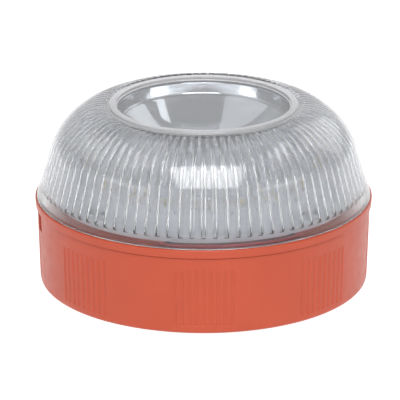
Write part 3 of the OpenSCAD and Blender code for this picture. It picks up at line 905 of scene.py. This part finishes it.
def make_pad():
    """Rubber disc with fine rings moulded into its standing face."""
    inner_r, groove_half, groove_depth, groove_step = 10.2, 0.35, 0.25, 3.2
    corners = [(inner_r, pad_t, 0.1), (inner_r, 0, 0.2)]
    r = inner_r + groove_step
    while r < pad_r - groove_step / 2:
        corners += [(r - groove_half, 0, 0.08), (r - groove_half * 0.6, groove_depth, 0)]
        corners += [(r + groove_half * 0.6, groove_depth, 0), (r + groove_half, 0, 0.08)]
        r += groove_step
    corners += [(pad_r, 0, 0.2), (pad_r, pad_t, 0.1)]
    shape = Shape()
    shape.revolve(rounded(corners, 30), circle(240))
    shape.make("ribbed_pad", "base", [finishes["rubber"]], ["base_pad"])


def make_button():
    """Dished cap with soft edges on its grooved stem."""
    cap_top_z = cap_z + 1.6
    dish_r, dish_depth = 28.0, 0.7
    dish_edge = math.sqrt(dish_r**2 - (dish_r - dish_depth) ** 2)
    stem_r = 1.75
    groove_r, groove_z, groove_h = 1.3, 9.1, 0.6
    dish = [dish_edge * k / 12 for k in range(12)]
    profile = rounded(
        [
            *[(r, cap_z + dish_depth - dish_r + math.sqrt(dish_r**2 - r**2), 0) for r in dish],
            (dish_edge, cap_z, 0.4),
            (cap_r, cap_z, 0.4),
            (cap_r, cap_top_z, 0.2),
            (stem_r, cap_top_z, 0.5),
            (stem_r, groove_z, 0.05),
            (groove_r, groove_z, 0),
            (groove_r, groove_z + groove_h, 0),
            (stem_r, groove_z + groove_h, 0.05),
            (stem_r, stem_top_z, 0.25),
            (0, stem_top_z, 0),
        ]
    )
    shape = Shape()
    shape.revolve(profile, circle(96))
    shape.make("dished_button", "button", [finishes["black_plastic"]], ["push_button"])


def make_spring():
    """Coil spring over the button, built at its rest length, with a mesh of its own."""
    low_z, high_z = foot("button_spring"), top("button_spring")
    coil_r, wire_r, turns, steps = 5.0, 0.18, 2, 48
    rise = high_z - low_z - 2 * wire_r
    count = turns * steps
    path = []
    for k in range(count + 1):
        a = TURN * k / steps
        place = polar(coil_r, a, low_z + wire_r + rise * k / count)
        path.append((place, polar(1, a, 0), Vector((0, 0, 1))))
    shape = Shape()
    shape.sweep([(wire_r * math.cos(a), wire_r * math.sin(a)) for a in circle(14)], path)
    faces = [finishes["spring_steel"]]
    spring = shape.make("coil_spring", "base", faces, ["button_spring"], 50)
    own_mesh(spring)


make_cup()
make_collar()
make_dome()
make_reflector()
make_lamps()
make_torch_lamp()
make_lead("red_lead", "battery_lead_red", 1, red_ring_r)
make_lead("black_lead", "battery_lead_black", -1, black_ring_r)
make_pad()
make_button()
make_spring()


# ---- Studio ----


lamp_distance = 1.2


def softbox(name, azimuth, elevation, width, height, radiance):
    """Area light that faces the object. Azimuth is to the right of the front, in degrees."""
    lamp = bpy.data.lights.new(name, "AREA")
    lamp.shape = "RECTANGLE"
    lamp.size = width
    lamp.size_y = height
    # The power grows with the area, so that radiance alone sets how bright the box looks.
    lamp.energy = 4 * width * height * radiance
    holder = bpy.data.objects.new(name, lamp)
    a, e = math.radians(azimuth), math.radians(elevation)
    away = Vector((math.sin(a) * math.cos(e), -math.cos(a) * math.cos(e), math.sin(e)))
    holder.location = away * lamp_distance
    holder.rotation_euler = away.to_track_quat("Z", "Y").to_euler()
    holder.visible_camera = False
    scene.collection.objects.link(holder)


softbox("front_softbox", 4, 49, 0.90, 0.84, 4.5)
softbox("left_softbox", -100, 52, 1.05, 0.96, 0.45)
softbox("right_softbox", 106, 56, 0.50, 0.14, 1.2)
softbox("right_back_softbox", 138, 27, 0.70, 0.70, 0.75)
softbox("left_strip", -59, 17.5, 0.80, 0.15, 1.7)
softbox("right_strip", 59, 17.5, 0.80, 0.15, 1.7)


def make_floor():
    """Pale floor, just under the standing face."""
    f = Finish("floor", Emission_Color=(1, 1, 1, 1), Emission_Strength=0.97)
    f.colour((0.34, 0.34, 0.34), (0.36, 0.36, 0.36), f.noise(60, 2))
    f.rough(0.6, 0.8, f.noise(20))
    half = 4.0
    corners = [(-half, -half, 0), (half, -half, 0), (half, half, 0), (-half, half, 0)]
    mesh = bpy.data.meshes.new("floor")
    mesh.from_pydata(corners, [], [(0, 1, 2, 3)])
    mesh.materials.append(f.material)
    floor = bpy.data.objects.new("floor", mesh)
    floor.location.z = -0.0002
    scene.collection.objects.link(floor)


def grey_ramp(tree, value, stops):
    """Greys that follow a value, from stops of (value, grey)."""
    ramp = tree.nodes.new("ShaderNodeValToRGB")
    tree.links.new(value, ramp.inputs["Fac"])
    elements = ramp.color_ramp.elements
    for i, (position, grey) in enumerate(stops):
        stop = elements[i] if i < 2 else elements.new(position)
        stop.position = position
        stop.color = (grey, grey, grey, 1)
    return ramp.outputs["Color"]


def make_world():
    """Grey room with a pale backdrop behind the object."""
    world = bpy.data.worlds.new("room")
    scene.world = world
    world.use_nodes = True
    tree = world.node_tree
    shade = next(n for n in tree.nodes if n.type == "BACKGROUND")
    place = tree.nodes.new("ShaderNodeTexCoord")
    split = tree.nodes.new("ShaderNodeSeparateXYZ")
    tree.links.new(place.outputs["Generated"], split.inputs[0])
    room = grey_ramp(tree, split.outputs["Z"], [(0.0, 0.46), (0.35, 0.46), (0.8, 0.34)])
    backdrop = grey_ramp(tree, split.outputs["Z"], [(0.0, 0.85), (0.35, 0.62), (0.85, 0.27)])
    behind = grey_ramp(tree, split.outputs["Y"], [(0.45, 0.0), (0.58, 1.0)])
    # Sockets 0, 6 and 7 of a mix node are the factor and the two colours.
    mix = tree.nodes.new("ShaderNodeMix")
    mix.data_type = "RGBA"
    for socket, source in ((0, behind), (6, room), (7, backdrop)):
        tree.links.new(source, mix.inputs[socket])
    tree.links.new(mix.outputs[2], shade.inputs["Color"])


def make_camera():
    """Long lens, in front of the object and above it."""
    distance = 0.8
    elevation = math.radians(21.112)
    pitch = math.radians(19.61)
    camera = bpy.data.cameras.new("camera")
    camera.lens = 254.8
    camera.sensor_width = 36
    camera.shift_x = -0.009
    camera.clip_end = 20
    viewer = bpy.data.objects.new("camera", camera)
    viewer.location = (0, -distance * math.cos(elevation), distance * math.sin(elevation))
    viewer.rotation_euler = (math.pi / 2 - pitch, 0, 0)
    scene.collection.objects.link(viewer)
    scene.camera = viewer


make_floor()
make_world()
make_camera()
scene.view_settings.view_transform = "Standard"
